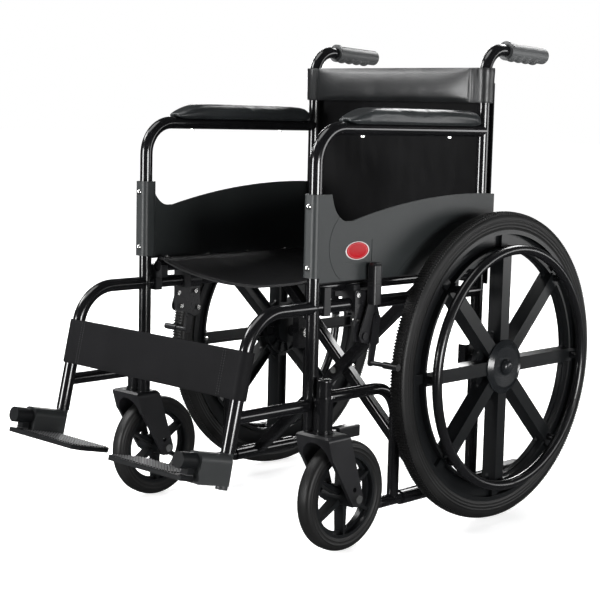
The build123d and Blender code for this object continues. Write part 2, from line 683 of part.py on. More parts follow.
def back_band():
    """Closed loop around both back canes."""
    deep = (cane_y - tube_r - 6, cane_y + tube_r + 9)
    outer = block((-band_half, band_half), deep, (band_bottom_z, band_top_z))
    outer = fillet(outer.edges().filter_by(Axis.Z), 12)
    hollow = block(
        (-band_half + band_wall, band_half - band_wall),
        (deep[0] + band_wall, deep[1] - band_wall), (band_bottom_z - 1, band_top_z + 1),
    )
    return outer - fillet(hollow.edges().filter_by(Axis.Z), 9)


def calf_panel():
    """Closed strap around both footrest hangers."""
    out = tube_r + 3.5
    inside = tube_r + 1.0
    strap = block((-out, 2 * frame_x + out), (-out, out), (calf_low, calf_high))
    strap -= block((-inside, 2 * frame_x + inside), (-inside, inside), (calf_low - 1, calf_high + 1))
    return foot_place() * strap


# ---------------------------------------------------------------- write the pieces
SIDE_PARTS = {
    "arm_tube": arm_tube,
    "footrest_hanger": footrest_hanger,
    "back_cane": back_cane,
    "side_rails": lambda: side_rails() + [axle_bracket()],
    "caster_housing": caster_housing,
    "rail_end_caps": rail_end_caps,
    "arm_pad": arm_pad,
    "skirt_guard": skirt_guard,
    "push_grip": push_grip,
    "seat_saddles": seat_saddles,
    "frame_fasteners": frame_fasteners,
    "rear_axle": rear_axle,
    "brake_bracket": brake_bracket,
    "brake_lever": brake_lever,
    "brake_shoe": brake_shoe,
    "wheel": wheel_casting,
    "tyre": tyre,
    "push_rim": push_rim,
    "hub_cap": hub_cap,
    "caster_fork": caster_fork,
    "caster_wheel": caster_wheel,
    "caster_tyre": caster_tyre,
    "caster_axle": caster_axle,
    "footrest_extension": footrest_extension,
    "footplate": lambda: footplate(tread_turn),
    "seat_tube": seat_tube,
}
RIGHT_PARTS = {
    "footplate": lambda: footplate(-tread_turn),
}
MIDDLE_PARTS = {
    "brace_a": lambda: brace(1, brace_rear_y, center_bolt_r + running),
    "brace_b": lambda: brace(-1, brace_front_y, center_bolt_r),
    "brace_center_bolt": center_bolt,
    "seat_sling": seat_sling,
    "back_sling": back_sling,
    "back_band": back_band,
    "calf_panel": calf_panel,
}


def as_one(shape):
    """One shape to write: a list of pieces becomes a compound of its solids."""
    pieces = shape if isinstance(shape, list) else [shape]
    solids = [solid for piece in pieces for solid in piece.solids()]
    return solids[0] if len(solids) == 1 else Compound(children=solids)


def front_reach():
    """How far the footrest barrel reaches in front of the rear axle."""
    return -footplate(tread_turn).bounding_box().min.Y


AXLE_Y = (front_reach() - wheel_r) / 2


def main():
    os.makedirs("parts", exist_ok=True)
    place = Pos(0, AXLE_Y, 0)
    for name, make in SIDE_PARTS.items():
        left = as_one(make())
        right = as_one(RIGHT_PARTS[name]()) if name in RIGHT_PARTS else left
        export_step(place * left, f"parts/left_{name}.step")
        export_step(place * mirror(right, about=Plane.YZ), f"parts/right_{name}.step")
    for name, make in MIDDLE_PARTS.items():
        export_step(place * as_one(make()), f"parts/{name}.step")


if __name__ == "__main__":
    main()
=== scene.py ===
"""Looks for the folding manual wheelchair.

Gloss black tubes, moulded wheels and guards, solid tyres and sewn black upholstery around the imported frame.
Lengths in the drawing functions are millimetres, with X from the middle, Y from the rear axle and Z from
the floor; mm() turns them into the frame's metres.
"""
import math

import bmesh
import bpy
import numpy as np
from mathutils import Matrix, Vector, noise


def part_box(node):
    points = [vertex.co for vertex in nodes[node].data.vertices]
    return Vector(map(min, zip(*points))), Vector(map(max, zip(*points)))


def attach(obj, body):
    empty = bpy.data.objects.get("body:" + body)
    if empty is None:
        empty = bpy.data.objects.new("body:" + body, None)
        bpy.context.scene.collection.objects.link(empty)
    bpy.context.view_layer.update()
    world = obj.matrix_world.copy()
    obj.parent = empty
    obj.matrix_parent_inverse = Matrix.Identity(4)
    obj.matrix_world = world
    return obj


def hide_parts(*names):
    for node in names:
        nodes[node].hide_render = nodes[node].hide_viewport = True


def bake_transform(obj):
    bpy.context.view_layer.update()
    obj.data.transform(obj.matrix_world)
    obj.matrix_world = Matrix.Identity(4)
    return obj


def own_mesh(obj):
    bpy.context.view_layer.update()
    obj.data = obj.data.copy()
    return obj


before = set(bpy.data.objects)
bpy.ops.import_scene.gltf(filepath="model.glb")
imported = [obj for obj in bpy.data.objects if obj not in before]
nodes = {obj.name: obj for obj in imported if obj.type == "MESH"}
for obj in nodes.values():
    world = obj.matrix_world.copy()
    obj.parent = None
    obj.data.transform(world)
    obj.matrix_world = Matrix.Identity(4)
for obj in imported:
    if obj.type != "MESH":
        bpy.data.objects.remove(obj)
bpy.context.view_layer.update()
AXLE_Y = sum(corner.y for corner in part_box("left_wheel")) / 2
SIDES = (("left", 1), ("right", -1))

# places repeated from the CAD model, in millimetres
FRAME_X = 232.0          # middle of the canes, arm tubes and hangers
WHEEL_X = 304.0
WHEEL_Z = 301.0
CASTER_X = 261.0
CASTER_Y = -390.0
CASTER_Z = 101.0         # and the caster tyre's radius
SPOKE_BACK_X = 289.8     # inner face of the spokes, where the push rim's screws stand
PUSH_RIM_R = 230.0
SPOKES = 8
ARM_TUBE_Z = 755.0
BADGE_SEAT_X = 247.2     # floor of the badge recess in the guards' outer faces


def mm(x, y, z):
    """A point in metres from millimetres, with Y counted from the rear axle and Z from the floor."""
    return Vector((x / 1000, y / 1000 + AXLE_Y, z / 1000))


# ---------------------------------------------------------------- materials
def add(tree, kind, inputs=None, **settings):
    """A shader node with its settings and input values or links."""
    node = tree.nodes.new(kind)
    for key, value in settings.items():
        setattr(node, key, value)
    for key, value in (inputs or {}).items():
        if isinstance(value, bpy.types.NodeSocket):
            tree.links.new(value, node.inputs[key])
        else:
            node.inputs[key].default_value = value
    return node


def math_node(tree, operation, first, second=0.0):
    """The result of a two-input maths node; the second input is a number or a link."""
    node = add(tree, "ShaderNodeMath", {0: first}, operation=operation)
    if isinstance(second, bpy.types.NodeSocket):
        tree.links.new(second, node.inputs[1])
    else:
        node.inputs[1].default_value = second
    return node.outputs[0]


def weave_height(tree, place, pitch, axes):
    """A plain weave: raised crossings that alternate along two axes, pitch in metres."""
    split = add(tree, "ShaderNodeSeparateXYZ", {0: place})
    waves = [
        math_node(tree, "SINE", math_node(tree, "MULTIPLY", split.outputs[axis], math.pi / pitch))
        for axis in axes
    ]
    return math_node(tree, "MULTIPLY_ADD", math_node(tree, "MULTIPLY", *waves), 0.5)


def ramp(tree, value, start, end, low=0.0, high=1.0):
    """A clamped straight change from low to high as value goes from start to end."""
    return add(tree, "ShaderNodeMapRange", {
        "Value": value, "From Min": start, "From Max": end, "To Min": low, "To Max": high,
    }).outputs[0]


def multiplied(tree, color, shade):
    """A colour link darkened or lightened by a grey value."""
    node = add(tree, "ShaderNodeMix", {"Factor": 1.0}, data_type="RGBA", blend_type="MULTIPLY")
    grey = add(tree, "ShaderNodeCombineColor", {0: shade, 1: shade, 2: shade}).outputs[0]
    tree.links.new(color, node.inputs["A"])
    tree.links.new(grey, node.inputs["B"])
    return node.outputs["Result"]


def finish(name, color, rough, metallic=0.0, mottle=0.2, spread=0.08,
           grain=None, weave=None, pebble=None, specular=0.5, raised=None):
    """A procedural material: broad colour and gloss variation, and fine grain, weave or pebbling as bump.

    grain is (scale, depth), pebble is (scale, depth), and weave is (pitch, depth, axes); depths are metres.
    raised is (direction, level, height, shade): a thin layer of the surface, from that level along the
    direction to four heights above it, gets a painted highlight in a lighter shade.
    """
    made = bpy.data.materials.new(name)
    made.use_nodes = True
    tree = made.node_tree
    shader = tree.nodes["Principled BSDF"]
    place = add(tree, "ShaderNodeTexCoord").outputs["Object"]
    broad = add(tree, "ShaderNodeTexNoise", {"Vector": place, "Scale": 14.0, "Detail": 5.0}).outputs["Fac"]
    fine = add(tree, "ShaderNodeTexNoise", {"Vector": place, "Scale": 260.0, "Detail": 3.0}).outputs["Fac"]
    plain = add(tree, "ShaderNodeRGB")
    plain.outputs[0].default_value = (*color, 1.0)
    color_out = multiplied(tree, plain.outputs[0], ramp(tree, broad, 0.3, 0.7, 1 - mottle, 1 + mottle))
    gloss_mix = math_node(tree, "MULTIPLY_ADD", broad, 0.6)
    tree.links.new(fine, gloss_mix.node.inputs[2])
    gloss = ramp(tree, gloss_mix, 0.5, 1.1, rough - spread / 2, rough + spread / 2)
    bump = None
    if weave:
        pitch, depth, axes = weave
        height = weave_height(tree, place, pitch, axes)
        bump = add(tree, "ShaderNodeBump", {"Height": height, "Distance": depth, "Strength": 0.8})
        # painted shade in the weave's hollows and a painted highlight on its crossings
        color_out = multiplied(tree, color_out, ramp(tree, height, -0.5, 0.5, 0.65, 1.25))
    # painted highlight: the tops of the raised ribs are lightened as if they caught the light
    if raised:
        way, level, height, shade = raised
        along = add(tree, "ShaderNodeVectorMath", {0: place, 1: tuple(way)}, operation="DOT_PRODUCT")
        rise = along.outputs["Value"]
        above = ramp(tree, rise, level, level + height)
        below = ramp(tree, rise, level + 4 * height, level + 3 * height)
        share = math_node(tree, "MULTIPLY", above, below)
        top_highlight = add(tree, "ShaderNodeMix", {"Factor": share, "B": (shade, shade, shade * 1.03, 1.0)},
                  data_type="RGBA")
        tree.links.new(color_out, top_highlight.inputs["A"])
        color_out = top_highlight.outputs["Result"]
    if pebble:
        scale, depth = pebble
        cells = add(tree, "ShaderNodeTexVoronoi", {"Vector": place, "Scale": scale},
                    feature="DISTANCE_TO_EDGE")
        top = ramp(tree, cells.outputs["Distance"], 0.0, 0.22)
        bump = add(tree, "ShaderNodeBump", {"Height": top, "Distance": depth, "Strength": 0.7})
    if grain:
        scale, depth = grain
        dust = add(tree, "ShaderNodeTexNoise", {"Vector": place, "Scale": scale, "Detail": 4.0})
        dusted = add(tree, "ShaderNodeBump", {
            "Height": dust.outputs["Fac"], "Distance": depth, "Strength": 0.7,
        })
        if bump:
            tree.links.new(bump.outputs[0], dusted.inputs["Normal"])
        bump = dusted
    shader.inputs["Metallic"].default_value = metallic
    shader.inputs["Specular IOR Level"].default_value = specular
    tree.links.new(color_out, shader.inputs["Base Color"])
    tree.links.new(gloss, shader.inputs["Roughness"])
    if bump:
        tree.links.new(bump.outputs[0], shader.inputs["Normal"])
    return made


FLAT = (0, 1)
UPRIGHT = (0, 2)
PAINT = finish("frame_paint", (0.004, 0.004, 0.0045), 0.15, grain=(900, 0.00001), spread=0.05)
MOULDED = finish("moulded_black", (0.007, 0.007, 0.008), 0.36, grain=(1500, 0.00003), specular=0.35)
GUARD = finish("guard_grey", (0.017, 0.0195, 0.0200), 0.46, grain=(1900, 0.00004), mottle=0.1, specular=0.40)
WHEEL = finish("wheel_moulding", (0.005, 0.0055, 0.006), 0.30, grain=(300, 0.000002), specular=0.24,
               mottle=0.12, spread=0.04)
FORK = finish("fork_moulding", (0.008, 0.008, 0.009), 0.36, grain=(1300, 0.00003), specular=0.35)
TYRE = finish("tyre_rubber", (0.006, 0.006, 0.006), 0.46, grain=(1700, 0.00006), mottle=0.3, specular=0.24)
HOOP = finish("push_rim_coat", (0.004, 0.004, 0.0045), 0.22, grain=(400, 0.000002), specular=0.4, spread=0.04)
GRIP = finish("grip_rubber", (0.055, 0.057, 0.058), 0.46, pebble=(700, 0.00006), specular=0.6)
CAP = finish("hub_cap", (0.008, 0.009, 0.010), 0.22, grain=(400, 0.000002), specular=0.40, spread=0.04)
STEEL = finish("brake_coat", (0.008, 0.008, 0.009), 0.30, grain=(800, 0.00002))
ZINC = finish("zinc_plate", (0.82, 0.82, 0.80), 0.20, metallic=1.0, grain=(1400, 0.00002))
CLAMP = finish("footrest_moulding", (0.018, 0.0195, 0.020), 0.42, grain=(1500, 0.00005), specular=0.3)
VINYL = finish("vinyl", (0.009, 0.0095, 0.010), 0.32, pebble=(620, 0.00006), grain=(160, 0.00003),
               specular=0.45)
PAD = finish("arm_pad_skin", (0.015, 0.017, 0.018), 0.34, pebble=(800, 0.00006))
SEAT = finish("seat_nylon", (0.0045, 0.0045, 0.005), 0.50, weave=(0.0011, 0.00008, FLAT), grain=(90, 0.0002),
              specular=0.25)
BACK = finish("back_nylon", (0.003, 0.003, 0.0033), 0.48, weave=(0.0011, 0.00008, UPRIGHT),
              grain=(70, 0.0003), specular=0.06)
STRAP = finish("strap_nylon", (0.0045, 0.0045, 0.005), 0.60, weave=(0.0013, 0.00010, UPRIGHT), specular=0.06)
THREAD = finish("thread", (0.016, 0.016, 0.017), 0.60, grain=(4000, 0.00003))
ENAMEL = finish("badge_enamel", (0.27, 0.002, 0.006), 0.25, mottle=0.12, specular=0.10)
TRIM = finish("badge_trim", (0.45, 0.42, 0.42), 0.30, specular=0.3)
BADGE_LINE = finish("badge_line", (0.40, 0.08, 0.09), 0.30, mottle=0.05, specular=0.1)

# the footrest leans forward; its frame is used for the plate's ribs and the calf strap
LEAN = math.radians(12.5)
FOOT_Z = 193.0           # footplate's hinge
HANGER_Y = -589.0        # the hanger's line at the height below
HANGER_Z = 440.0
FOOT_Y = HANGER_Y - (HANGER_Z - FOOT_Z) * math.tan(LEAN)
UP_HANGER = Vector((0, math.sin(LEAN), math.cos(LEAN)))
AHEAD = Vector((0, -math.cos(LEAN), math.sin(LEAN)))
PLATE_LEVEL = mm(0, FOOT_Y, FOOT_Z).dot(UP_HANGER) - 0.0250
# the footplate's rib tops carry a painted highlight
TREAD = finish("footplate_plastic", (0.005, 0.0055, 0.006), 0.45, grain=(1500, 0.00003), specular=0.12,
               raised=(UP_HANGER, PLATE_LEVEL + 0.00130, 0.00025, 0.095))

NODE_LOOKS = {
    "arm_tube": PAINT, "footrest_hanger": PAINT, "back_cane": PAINT, "side_rails": PAINT,
    "caster_housing": PAINT, "rail_end_caps": MOULDED, "skirt_guard": GUARD, "push_grip": GRIP,
    "seat_saddles": MOULDED, "frame_fasteners": ZINC, "rear_axle": ZINC,
    "brake_bracket": STEEL, "brake_lever": MOULDED, "brake_shoe": STEEL,
    "wheel": WHEEL, "push_rim": HOOP, "hub_cap": CAP, "caster_fork": FORK, "caster_wheel": WHEEL,
    "caster_axle": ZINC, "footrest_extension": CLAMP, "footplate": TREAD, "seat_tube": PAINT,
    "arm_pad": PAD, "tyre": TYRE, "caster_tyre": TYRE,
    "brace_a": PAINT, "brace_b": PAINT, "brace_center_bolt": ZINC,
    "seat_sling": SEAT, "back_sling": BACK, "back_band": VINYL, "calf_panel": STRAP,
}
for name, node in nodes.items():
    kind = name.removeprefix("left_").removeprefix("right_")
    for index in range(max(1, len(node.data.materials))):
        if node.data.materials:
            node.data.materials[index] = NODE_LOOKS[kind]
        else:
            node.data.materials.append(NODE_LOOKS[kind])


# ---------------------------------------------------------------- mesh helpers
class Skin:
    """Collects rows of points into quads, with a material index for each face."""

    def __init__(self):
        self.points = []
        self.faces = []
        self.slots = []

    def face(self, corners, slot=0):
        self.faces.append(tuple(corners))
        self.slots.append(slot)

    def grid(self, rows, slot=0, around=False, along=False):
        """Quads over rows; around closes each row on itself, along joins the last row to the first."""
        start = len(self.points)
        width = len(rows[0])
        for row in rows:
            self.points.extend(row)
        for i in range(len(rows) - (0 if along else 1)):
            j = (i + 1) % len(rows)
            for k in range(width - (0 if around else 1)):
                n = (k + 1) % width
                near = start + i * width
                far = start + j * width
                self.face([near + k, near + n, far + n, far + k], slot)
        return start

    def closed(self, rows, slot=0):
        """A closed lofted body: rings joined along their length, with a fan at each end."""
        start, width = self.grid(rows, slot, around=True), len(rows[0])
        for ring, offset in ((rows[0], 0), (rows[-1], (len(rows) - 1) * width)):
            middle = len(self.points)
            self.points.append(sum(ring, Vector()) / width)
            for k in range(width):
                self.face([start + offset + k, start + offset + (k + 1) % width, middle], slot)

    def sheet(self, front, back, around=False):
        """A sheet with two faces and joined edges; around closes it into a loop."""
        rows, width = len(front), len(front[0])
        first, second = self.grid(front, around=around), self.grid(back, around=around)
        for i in (0, rows - 1):
            for k in range(width - (0 if around else 1)):
                n = (k + 1) % width
                near = first + i * width
                far = second + i * width
                self.face([near + k, near + n, far + n, far + k])
        if not around:
            for i in range(rows - 1):
                for k in (0, width - 1):
                    self.face([first + i * width + k, first + (i + 1) * width + k,
                               second + (i + 1) * width + k, second + i * width + k])

    def turned(self, profile, origin, axis, steps=24):
        """A closed turned body from (radius, height) pairs along an axis."""
        axis = Vector(axis).normalized()
        side = axis.orthogonal().normalized()
        other = axis.cross(side)
        rings = []
        for radius, height in profile:
            ring = []
            for step in range(steps):
                turn = 2 * math.pi * step / steps
                ring.append(origin + axis * height / 1000
                            + (side * math.cos(turn) + other * math.sin(turn)) * radius / 1000)
            rings.append(ring)
        self.closed(rings)

    def stitches(self, path, normal, slot, pitch=4.2, length=3.0, radius=0.42):
        """A row of short thread loops that stand on a path."""
        lengths = [0.0]
        for a, b in zip(path, path[1:]):
            lengths.append(lengths[-1] + (b - a).length)
        count = int(lengths[-1] * 1000 / pitch)
        for index in range(count):
            middle = (index + 0.5) * lengths[-1] / count
            k = max(i for i in range(len(path) - 1) if lengths[i] <= middle)
            run = (path[k + 1] - path[k])
            way = run.normalized()
            at = path[k] + run * ((middle - lengths[k]) / max(run.length, 1e-9))
            side = way.cross(normal).normalized()
            rings = []
            for t in range(5):
                u = t / 4
                lift = math.sin(math.pi * u) * radius * 1.2 / 1000
                size = radius * (0.45 + 0.55 * math.sin(math.pi * u)) / 1000
                center = at + way * ((u - 0.5) * length / 1000) + normal * lift
                rings.append([
                    center + (side * math.cos(a) + normal * math.sin(a)) * size
                    for a in (math.pi * q / 3 for q in range(6))
                ])
            self.closed(rings, slot)

    def make(self, name, materials, sharp=38.0):
        """The collected faces as an object, smooth apart from edges sharper than the angle."""
        mesh = bpy.data.meshes.new(name)
        mesh.from_pydata([tuple(p) for p in self.points], [], self.faces)
        for material in materials:
            mesh.materials.append(material)
        mesh.polygons.foreach_set("material_index", self.slots)
        work = bmesh.new()
        work.from_mesh(mesh)
        bmesh.ops.recalc_face_normals(work, faces=work.faces)
        work.to_mesh(mesh)
        work.free()
        mesh.polygons.foreach_set("use_smooth", [True] * len(mesh.polygons))
        mesh.set_sharp_from_angle(angle=math.radians(sharp))
        made = bpy.data.objects.new(name, mesh)
        bpy.context.scene.collection.objects.link(made)
        return made


def spaced(start, end, count):
    """Evenly spaced numbers from start to end."""
    return [start + (end - start) * i / (count - 1) for i in range(count)]


def hill(x, middle, width):
    """A smooth bump of height 1 about the middle."""
    return math.exp(-((x - middle) / width) ** 2)


def ripple(x, y, scale, seed):
    """Smooth noise between -1 and 1 at a point given in millimetres."""
    return noise.noise(Vector((x / scale, y / scale, seed)))


# ---------------------------------------------------------------- tyres
def tyre_rings(center, profile, steps):
    """Rings of a tyre about an X axis, from a closed section of (radius, x offset)."""
    rings = []
    for step in range(steps):
        turn = 2 * math.pi * step / steps
        way = Vector((0, math.cos(turn), math.sin(turn)))
        rings.append([
            center + Vector((offset / 1000, 0, 0)) + way * radius / 1000 for radius, offset in profile
        ])
    return rings


def tyre_section(outer, inner, half, bead, ridges):
    """A tyre's closed section: bead, bulging sidewalls with raised rings, and a rounded crown."""
    side = []
    for u in spaced(0.0, 1.0, 30):
        radius = inner + (outer - inner) * (1 - (1 - u) ** 1.35)
        offset = half * math.sqrt(max(0.0, 1 - u ** 4.2)) - (half - bead) * (1 - u) ** 3
        lift = sum(0.75 * hill(radius, inner + (outer - inner) * place, 1.1) for place in ridges)
        side.append((radius, offset + lift))
    low = [(inner, bead * k) for k in (-0.75, -0.25, 0.25, 0.75)]
    return [(r, -x) for r, x in side] + [(r, x) for r, x in reversed(side)][1:] + list(reversed(low))


def lug(center, turn, offset, radius, span, width, height):
    """One tapered tread block, as two rings of four corners."""
    rings = []
    for level, scale in ((-1.2, 1.0), (height, 0.80)):
        ring = []
        for u, v in ((-1, -1), (1, -1), (1, 1), (-1, 1)):
            angle = turn + u * scale * span / 2 / radius
            way = Vector((0, math.cos(angle), math.sin(angle)))
            across = Vector(((offset + v * scale * width / 2) / 1000, 0, 0))
            ring.append(center + across + way * (radius + level) / 1000)
        rings.append(ring)
    return rings


TREAD_STEPS = 320
TREAD_BASE = 299.2
TREAD_ROWS = (
    # offset from the tyre's middle, drop below its crown
    (-12.2, 2.6), (-8.2, 1.1), (-4.1, 0.3), (0.0, 0.0), (4.1, 0.3), (8.2, 1.1), (12.2, 2.6),
)


def build_tyres():
    """Rear tyres with rows of small tread blocks, and plain ribbed caster tyres."""
    rear = tyre_section(TREAD_BASE, inner=266.0, half=17.0, bead=14.5, ridges=(0.16, 0.34, 0.52))
    small = tyre_section(CASTER_Z, inner=77.0, half=16.0, bead=13.0, ridges=(0.22, 0.5))
    for side, sign in SIDES:
        center = mm(sign * WHEEL_X, 0, WHEEL_Z)
        skin = Skin()
        skin.grid(tyre_rings(center, rear, 288), 0, around=True, along=True)
        for offset, drop in TREAD_ROWS:
            for step in range(TREAD_STEPS):
                turn = 2 * math.pi * step / TREAD_STEPS
                skin.closed(lug(center, turn, offset, TREAD_BASE - drop, span=3.7, width=3.1, height=1.8))
        tyre = skin.make(f"{side}_tyre_tread", [TYRE], 50)
        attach(tyre, f"{side}_wheel")
        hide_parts(f"{side}_tyre")
        skin = Skin()
        center = mm(sign * CASTER_X, CASTER_Y, CASTER_Z)
        skin.grid(tyre_rings(center, small, 144), 0, around=True, along=True)
        tyre = skin.make(f"{side}_caster_tread", [TYRE], 50)
        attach(tyre, f"{side}_caster_wheel")
        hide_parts(f"{side}_caster_tyre")


# ---------------------------------------------------------------- soft pads
def swell(piece, cap, pressure, voxel, keep_out):
    """Inflates a pad with a short cloth run.

    Each point stays within cap of where it was, and keep_out holds it off what it rests on.
    """
    remesh = piece.modifiers.new("remesh", "REMESH")
    remesh.mode = "VOXEL"
    remesh.voxel_size = voxel
    evaluated = piece.evaluated_get(bpy.context.evaluated_depsgraph_get())
    mesh = bpy.data.meshes.new_from_object(evaluated)
    mesh.materials.clear()
    mesh.materials.append(piece.data.materials[0])
    piece.modifiers.clear()
    piece.data = mesh
    rest = np.array([v.co for v in mesh.vertices])
    cloth = piece.modifiers.new("cloth", "CLOTH")
    cloth.settings.use_pressure = True
    cloth.settings.uniform_pressure_force = pressure
    cloth.settings.effector_weights.gravity = 0.0
    cloth.settings.quality = 5
    for step in range(1, 21):
        bpy.context.scene.frame_set(step)
    evaluated = piece.evaluated_get(bpy.context.evaluated_depsgraph_get())
    swollen = np.array([v.co for v in evaluated.data.vertices])
    piece.modifiers.clear()
    bpy.context.scene.frame_set(1)
    move = swollen - rest
    size = np.linalg.norm(move, axis=1, keepdims=True)
    move *= np.minimum(1.0, cap / np.maximum(size, 1e-9))
    rest = rest + move
    rest = keep_out(rest)
    mesh.vertices.foreach_set("co", rest.astype(np.float32).ravel())
    smooth = piece.modifiers.new("smooth", "SUBSURF")
    smooth.levels = smooth.render_levels = 1
    mesh.polygons.foreach_set("use_smooth", [True] * len(mesh.polygons))
    return piece


PAD_NOSE = (
    # distance from the pad's front end, drop from its top, half width
    (0.5, 21.0, 14), (4, 18.6, 19), (14, 14.2, 23.5), (28, 9.0, 26.4), (42, 4.4, 27.3), (56, 1.2, 27.6),
    (74, 0.4, 27.6),
)
PAD_TAIL = (
    # distance from the pad's rear end, drop from its top, half width
    (60, 0.4, 27.6), (36, 1.0, 27.4), (20, 3.2, 26.4), (9, 7.6, 23.0), (3, 13.0, 18.5), (0.8, 18.0, 13.5),
)


def pad_rows(node):
    """Sections of an arm pad along its tube, from the CAD pad's own box, as (y, top height, half width)."""
    low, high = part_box(node)
    front, rear = (low.y - AXLE_Y) * 1000, (high.y - AXLE_Y) * 1000
    top = high.z * 1000 - 0.4
    rows = [(front + away, top - drop, half) for away, drop, half in PAD_NOSE]
    rows += [(y, top, 27.6) for y in spaced(front + 110, rear - 95, 5)]
    return rows + [(rear - away, top - drop, half) for away, drop, half in PAD_TAIL]


PAD_CHANNEL_R = 12.4     # the pad's underside clears the arm tube by this radius
PAD_UNDER = 764.6        # height of the underside beside the tube


def pad_ring(y, top, half, sign):
    """One section of an arm pad: channel over the tube, short flanks, rounded shoulders and a crowned top."""
    middle = sign * FRAME_X
    ring = []
    for dx in spaced(-half + 2, half - 2, 11):
        over_tube = ARM_TUBE_Z + math.sqrt(max(0.0, PAD_CHANNEL_R ** 2 - dx * dx))
        ring.append(mm(middle + dx, y, max(PAD_UNDER, over_tube)))
    flank = PAD_UNDER + (top - PAD_UNDER) * 0.45
    edge = (
        (half, PAD_UNDER + 1.8), (half, flank), (half - 0.9, flank + 1.2), (half - 0.8, flank + 2.6),
        (half - 2.4, top - 3.4), (half - 5.5, top - 1.2),
    )
    ring += [mm(middle + dx, y, min(z, top)) for dx, z in edge]
    ring += [mm(middle + dx, y, top + 0.7 * (1 - (dx / half) ** 2)) for dx in spaced(half - 9, -half + 9, 7)]
    ring += [mm(middle - dx, y, min(z, top)) for dx, z in reversed(edge)]
    return ring


def build_arm_pads():
    """Padded vinyl arm pads on the arm tubes."""
    for side, sign in SIDES:
        skin = Skin()
        skin.closed([pad_ring(y, top, half, sign) for y, top, half in pad_rows(f"{side}_arm_pad")])
        pad = skin.make(f"{side}_arm_pad_skin", [PAD], 180)

        def keep_out(points):
            """Holds the pad on top of its tube and inside its own height."""
            dx = points[:, 0] - sign * FRAME_X / 1000
            radius, lowest, highest = PAD_CHANNEL_R / 1000, PAD_UNDER / 1000 - 0.0011, 0.7935
            over_tube = ARM_TUBE_Z / 1000 + np.sqrt(np.maximum(0.0, radius ** 2 - dx ** 2))
            rest = np.where(np.abs(dx) < radius, over_tube, lowest)
            points[:, 2] = np.clip(np.maximum(points[:, 2], rest), lowest, highest)
            return points

        swell(pad, cap=0.0022, pressure=3.0, voxel=0.0035, keep_out=keep_out)
        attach(pad, f"{side}_side")
        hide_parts(f"{side}_arm_pad")


# ---------------------------------------------------------------- upholstery
SEAT_LOW, SEAT_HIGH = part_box("left_seat_tube")
SEAT_X = (SEAT_LOW.x + SEAT_HIGH.x) * 500
SEAT_Z = (SEAT_LOW.z + SEAT_HIGH.z) * 500
SEAT_FRONT = (SEAT_LOW.y - AXLE_Y) * 1000 + 6
SEAT_REAR = (SEAT_HIGH.y - AXLE_Y) * 1000 - 8
SEAT_OVER = 13.1         # the cloth's middle surface above the seat tube's axis
SEAT_SAG = 30.0
SEAT_SLEEVE = 2.6        # how much the doubled cloth over each tube stands up
SEAT_HALF = 225.0
SEAT_SCREWS = [SEAT_FRONT + share * (SEAT_REAR - SEAT_FRONT) for share in (0.04, 0.30, 0.56, 0.82)]
SCREW_HEAD = (
    # radius and height of a pan head on its cup washer
    (6.5, 0), (6.6, 0.9), (4.2, 1.1), (4.4, 1.2), (4.1, 2.6), (2.6, 3.6), (1.5, 3.7), (1.4, 2.4),
)


def seat_height(x, y):
    """The sling's middle surface: over the seat tubes at the sides, and a shallow bowl between them."""
    away = abs(x)
    span = SEAT_X - 8
    if away > SEAT_X:
        dx = min(away - SEAT_X, 11.5)
        return SEAT_Z + math.sqrt(max(SEAT_OVER ** 2 - dx * dx, 30.0))
    if away > span:
        return SEAT_Z + SEAT_OVER - 0.05
    u = away / span
    sag = SEAT_SAG * (1 - u * u) ** 0.85
    # tight ridges run inward from the screws, and soft folds cross the bowl
    pull = sum(1.6 * hill(y, screw, 15) * hill(away, 186, 24) for screw in SEAT_SCREWS)
    fold = 1.3 * ripple(x, y * 0.35, 60, 3.1) + 0.7 * ripple(x * 0.4, y, 22, 7.7)
    fade = min(1.0, (span - away) / 40)
    hem = 0.8 * hill(y, SEAT_FRONT + 14, 2.2) + 0.8 * hill(y, SEAT_REAR - 14, 2.2)
    return SEAT_Z + SEAT_OVER - sag + (pull + fold) * fade - hem


def build_seat():
    """The seat sling with doubled sleeves over the seat tubes, its stitching and its screws."""
    xs = spaced(-SEAT_HALF, SEAT_HALF, 151)
    ys = spaced(SEAT_FRONT, SEAT_REAR, 120)
    top, under = [], []
    for y in ys:
        hem = 0.5 if y - SEAT_FRONT < 14 or SEAT_REAR - y < 14 else 0.0
        sleeves = [SEAT_SLEEVE * min(1.0, max(0.0, (abs(x) - 196) / 6)) for x in xs]
        top.append([mm(x, y, seat_height(x, y) + 1.2 + hem + extra) for x, extra in zip(xs, sleeves)])
        under.append([mm(x, y, seat_height(x, y) - 1.1 - hem) for x in xs])
    skin = Skin()
    skin.sheet(top, under)
    up = Vector((0, 0, 1))
    for y in (SEAT_FRONT + 5, SEAT_FRONT + 11, SEAT_REAR - 5, SEAT_REAR - 11):
        skin.stitches([mm(x, y, seat_height(x, y) + 1.75) for x in spaced(-200.0, 200.0, 60)], up, 1)
    for x in (-198, 198):
        line = [mm(x, y, seat_height(x, y) + 1.3) for y in spaced(SEAT_FRONT + 4, SEAT_REAR - 4, 50)]
        skin.stitches(line, up, 1)
    seat = skin.make("seat_cloth", [SEAT, THREAD])
    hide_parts("seat_sling")
    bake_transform(seat)
    for side, sign, body in (("left", 1, "brace_b"), ("right", -1, "brace_a")):
        skin = Skin()
        for y in SEAT_SCREWS:
            skin.turned(SCREW_HEAD, mm(sign * SEAT_X, y, SEAT_Z + SEAT_OVER + 1.1 + SEAT_SLEEVE), (0, 0, 1))
        screws = skin.make(f"{side}_seat_screws", [ZINC])
        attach(screws, body)


